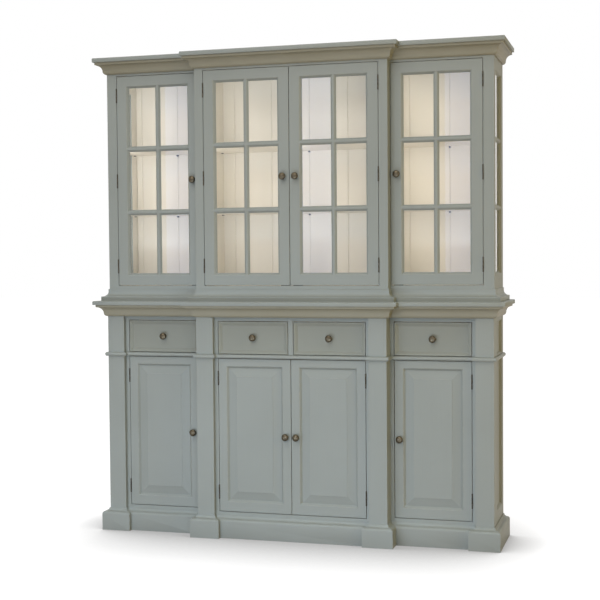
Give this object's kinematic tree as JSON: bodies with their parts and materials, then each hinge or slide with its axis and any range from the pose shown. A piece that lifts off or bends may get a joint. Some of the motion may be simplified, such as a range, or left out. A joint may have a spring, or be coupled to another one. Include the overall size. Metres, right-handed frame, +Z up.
{
  "type": "breakfront display hutch",
  "caption": "Breakfront hutch: a glazed display case with shelves behind barred doors, on a cupboard base with drawers, panelled doors, pilasters and mitred mouldings.",
  "frame": {"origin": "on the floor, at the middle of the width and of the overall depth", "axes": "+X to the right seen from the front, +Y to the back (the wall), +Z up"},
  "size_m": [1.908, 0.428, 2.2],
  "materials": {
    "paint": "satin",
    "cream": "satin",
    "raw_wood": "matte",
    "bronze": "satin",
    "glass": "gloss"
  },
  "bodies": {
    "cabinet": {"base_plinth": "paint", "base_carcass_boards": "raw_wood", "base_end_frames": "paint", "base_end_panels": "paint", "base_back": "raw_wood", "base_face_frame": "paint", "base_pilasters": "paint", "waist_bead": "paint", "drawer_runners": "raw_wood", "base_shelves": "raw_wood", "counter_top": "paint", "counter_moulding": "paint", "hutch_foot_moulding": "paint", "hutch_carcass_boards": "cream", "hutch_end_frames": "paint", "hutch_end_glass": "glass", "hutch_face_frame": "paint", "hutch_back_boards": "cream", "hutch_shelves": "cream", "shelf_supports": "bronze", "hutch_top": "paint", "cornice_moulding": "paint", "hinge_frame_halves": "bronze", "door_catches": "bronze"},
    "upper_door_left": {"upper_door_left_frame": "paint", "upper_door_left_glass": "glass", "upper_door_left_fittings": "bronze"},
    "upper_door_centre_left": {"upper_door_centre_left_frame": "paint", "upper_door_centre_left_glass": "glass", "upper_door_centre_left_fittings": "bronze"},
    "upper_door_centre_right": {"upper_door_centre_right_frame": "paint", "upper_door_centre_right_glass": "glass", "upper_door_centre_right_fittings": "bronze"},
    "upper_door_right": {"upper_door_right_frame": "paint", "upper_door_right_glass": "glass", "upper_door_right_fittings": "bronze"},
    "lower_door_left": {"lower_door_left_frame": "paint", "lower_door_left_panel": "paint", "lower_door_left_fittings": "bronze"},
    "lower_door_centre_left": {"lower_door_centre_left_frame": "paint", "lower_door_centre_left_panel": "paint", "lower_door_centre_left_fittings": "bronze"},
    "lower_door_centre_right": {"lower_door_centre_right_frame": "paint", "lower_door_centre_right_panel": "paint", "lower_door_centre_right_fittings": "bronze"},
    "lower_door_right": {"lower_door_right_frame": "paint", "lower_door_right_panel": "paint", "lower_door_right_fittings": "bronze"},
    "drawer_left": {"drawer_left_front": "paint", "drawer_left_box": "raw_wood", "drawer_left_knob": "bronze"},
    "drawer_centre_left": {"drawer_centre_left_front": "paint", "drawer_centre_left_box": "raw_wood", "drawer_centre_left_knob": "bronze"},
    "drawer_centre_right": {"drawer_centre_right_front": "paint", "drawer_centre_right_box": "raw_wood", "drawer_centre_right_knob": "bronze"},
    "drawer_right": {"drawer_right_front": "paint", "drawer_right_box": "raw_wood", "drawer_right_knob": "bronze"}
  },
  "joints": [
    {"name": "upper_door_left_hinge", "type": "hinge", "parent": "cabinet", "child": "upper_door_left", "pos_m": [-0.85175, -0.0894, 1.631], "axis": [0, 0, -1], "range_deg": [0, 170]},
    {"name": "upper_door_centre_left_hinge", "type": "hinge", "parent": "cabinet", "child": "upper_door_centre_left", "pos_m": [-0.40475, -0.1414, 1.631], "axis": [0, 0, -1], "range_deg": [0, 170]},
    {"name": "upper_door_centre_right_hinge", "type": "hinge", "parent": "cabinet", "child": "upper_door_centre_right", "pos_m": [0.40475, -0.1414, 1.631], "axis": [0, 0, 1], "range_deg": [0, 170]},
    {"name": "upper_door_right_hinge", "type": "hinge", "parent": "cabinet", "child": "upper_door_right", "pos_m": [0.85175, -0.0894, 1.631], "axis": [0, 0, 1], "range_deg": [0, 170]},
    {"name": "lower_door_left_hinge", "type": "hinge", "parent": "cabinet", "child": "lower_door_left", "pos_m": [-0.80175, -0.0894, 0.466], "axis": [0, 0, -1], "range_deg": [0, 120]},
    {"name": "lower_door_centre_left_hinge", "type": "hinge", "parent": "cabinet", "child": "lower_door_centre_left", "pos_m": [-0.34275, -0.1414, 0.466], "axis": [0, 0, -1], "range_deg": [0, 120]},
    {"name": "lower_door_centre_right_hinge", "type": "hinge", "parent": "cabinet", "child": "lower_door_centre_right", "pos_m": [0.34275, -0.1414, 0.466], "axis": [0, 0, 1], "range_deg": [0, 120]},
    {"name": "lower_door_right_hinge", "type": "hinge", "parent": "cabinet", "child": "lower_door_right", "pos_m": [0.80175, -0.0894, 0.466], "axis": [0, 0, 1], "range_deg": [0, 120]},
    {"name": "drawer_left_slide", "type": "slide", "parent": "cabinet", "child": "drawer_left", "axis": [0, -1, 0], "range_m": [0, 0.18]},
    {"name": "drawer_centre_left_slide", "type": "slide", "parent": "cabinet", "child": "drawer_centre_left", "axis": [0, -1, 0], "range_m": [0, 0.22]},
    {"name": "drawer_centre_right_slide", "type": "slide", "parent": "cabinet", "child": "drawer_centre_right", "axis": [0, -1, 0], "range_m": [0, 0.22]},
    {"name": "drawer_right_slide", "type": "slide", "parent": "cabinet", "child": "drawer_right", "axis": [0, -1, 0], "range_m": [0, 0.18]}
  ]
}
